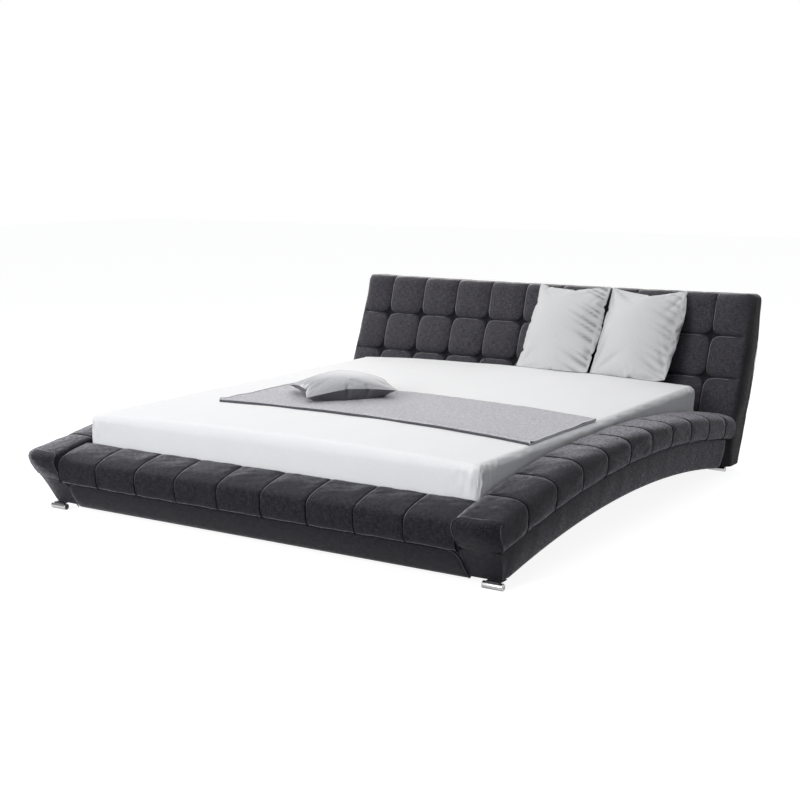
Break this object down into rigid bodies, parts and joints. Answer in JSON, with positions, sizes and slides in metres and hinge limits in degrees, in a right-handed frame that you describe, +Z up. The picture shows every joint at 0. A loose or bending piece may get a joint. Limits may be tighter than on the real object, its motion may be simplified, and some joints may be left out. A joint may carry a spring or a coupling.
{
  "type": "upholstered bed",
  "caption": "Low upholstered double bed with arched channelled side rails, a reclined tufted headboard and chrome roller feet, made up with mattress, sheet, runner and cushions.",
  "frame": {"origin": "on the floor, under the middle of the bed's overall length and width", "axes": "+Z up, +Y from the foot towards the headboard, +X to the right of someone standing at the foot"},
  "size_m": [2.164, 2.5673, 0.7901],
  "materials": {
    "charcoal_fabric": "linen-look weave",
    "black_lining": "plain lining over thin board",
    "timber": "raw softwood and ply",
    "slat_wood": "sanded",
    "black_steel": "powder coat",
    "chrome": "polished",
    "black_plastic": "moulded",
    "mattress_ticking": "plain ticking",
    "white_cotton": "smooth cotton",
    "grey_weave": "fine ribbed weave",
    "grey_satin": "satin"
  },
  "bodies": {
    "frame": {"headboard_pad": "charcoal_fabric", "headboard_panel": "timber", "headboard_post_left": "timber", "headboard_post_right": "timber", "headboard_top_rail": "timber", "headboard_bottom_rail": "timber", "headboard_back_cover": "black_lining", "foot_bolster": "charcoal_fabric", "foot_plinth": "charcoal_fabric", "foot_gusset_left": "charcoal_fabric", "foot_gusset_right": "charcoal_fabric", "foot_board": "timber", "rail_bolster_left": "charcoal_fabric", "rail_bolster_right": "charcoal_fabric", "rail_skirt_left": "charcoal_fabric", "rail_skirt_right": "charcoal_fabric", "rail_board_left": "timber", "rail_board_right": "timber", "ledger_left": "timber", "ledger_right": "timber", "bracket_foot_left": "black_steel", "bracket_foot_right": "black_steel", "bracket_head_left": "black_steel", "bracket_head_right": "black_steel", "roller_foot_front_left": "chrome", "roller_foot_front_right": "chrome", "roller_foot_rear_left": "chrome", "roller_foot_rear_right": "chrome", "centre_beam": "black_steel", "beam_hanger_foot": "black_steel", "beam_hanger_head": "black_steel", "centre_leg_1": "black_steel", "centre_leg_2": "black_steel", "slat_01": "slat_wood", "slat_02": "slat_wood", "slat_03": "slat_wood", "slat_04": "slat_wood", "slat_05": "slat_wood", "slat_06": "slat_wood", "slat_07": "slat_wood", "slat_08": "slat_wood", "slat_09": "slat_wood", "slat_10": "slat_wood", "slat_11": "slat_wood", "slat_12": "slat_wood", "slat_13": "slat_wood"},
    "glide_1": {"levelling_glide_1": "black_plastic"},
    "glide_2": {"levelling_glide_2": "black_plastic"},
    "bedding": {"mattress": "mattress_ticking", "fitted_sheet": "white_cotton"},
    "runner": {"runner": "grey_weave"},
    "throw_cushion": {"throw_cushion": "grey_satin"},
    "pillow_1": {"pillow_1": "white_cotton"},
    "pillow_2": {"pillow_2": "white_cotton"}
  },
  "joints": [
    {"name": "glide_1_screw", "type": "slide", "parent": "frame", "child": "glide_1", "axis": [0, 0, 1], "range_m": [0, 0.015]},
    {"name": "glide_2_screw", "type": "slide", "parent": "frame", "child": "glide_2", "axis": [0, 0, 1], "range_m": [0, 0.015]},
    {"name": "mattress_lift", "type": "slide", "parent": "frame", "child": "bedding", "axis": [0, 0, 1], "range_m": [0, 0.25]},
    {"name": "runner_lift", "type": "slide", "parent": "bedding", "child": "runner", "axis": [0, 0, 1], "range_m": [0, 0.2]},
    {"name": "throw_cushion_lift", "type": "slide", "parent": "runner", "child": "throw_cushion", "axis": [0, 0, 1], "range_m": [0, 0.3]},
    {"name": "pillow_1_lift", "type": "slide", "parent": "bedding", "child": "pillow_1", "axis": [0, 0, 1], "range_m": [0, 0.3]},
    {"name": "pillow_2_lift", "type": "slide", "parent": "bedding", "child": "pillow_2", "axis": [0, 0, 1], "range_m": [0, 0.3]}
  ]
}
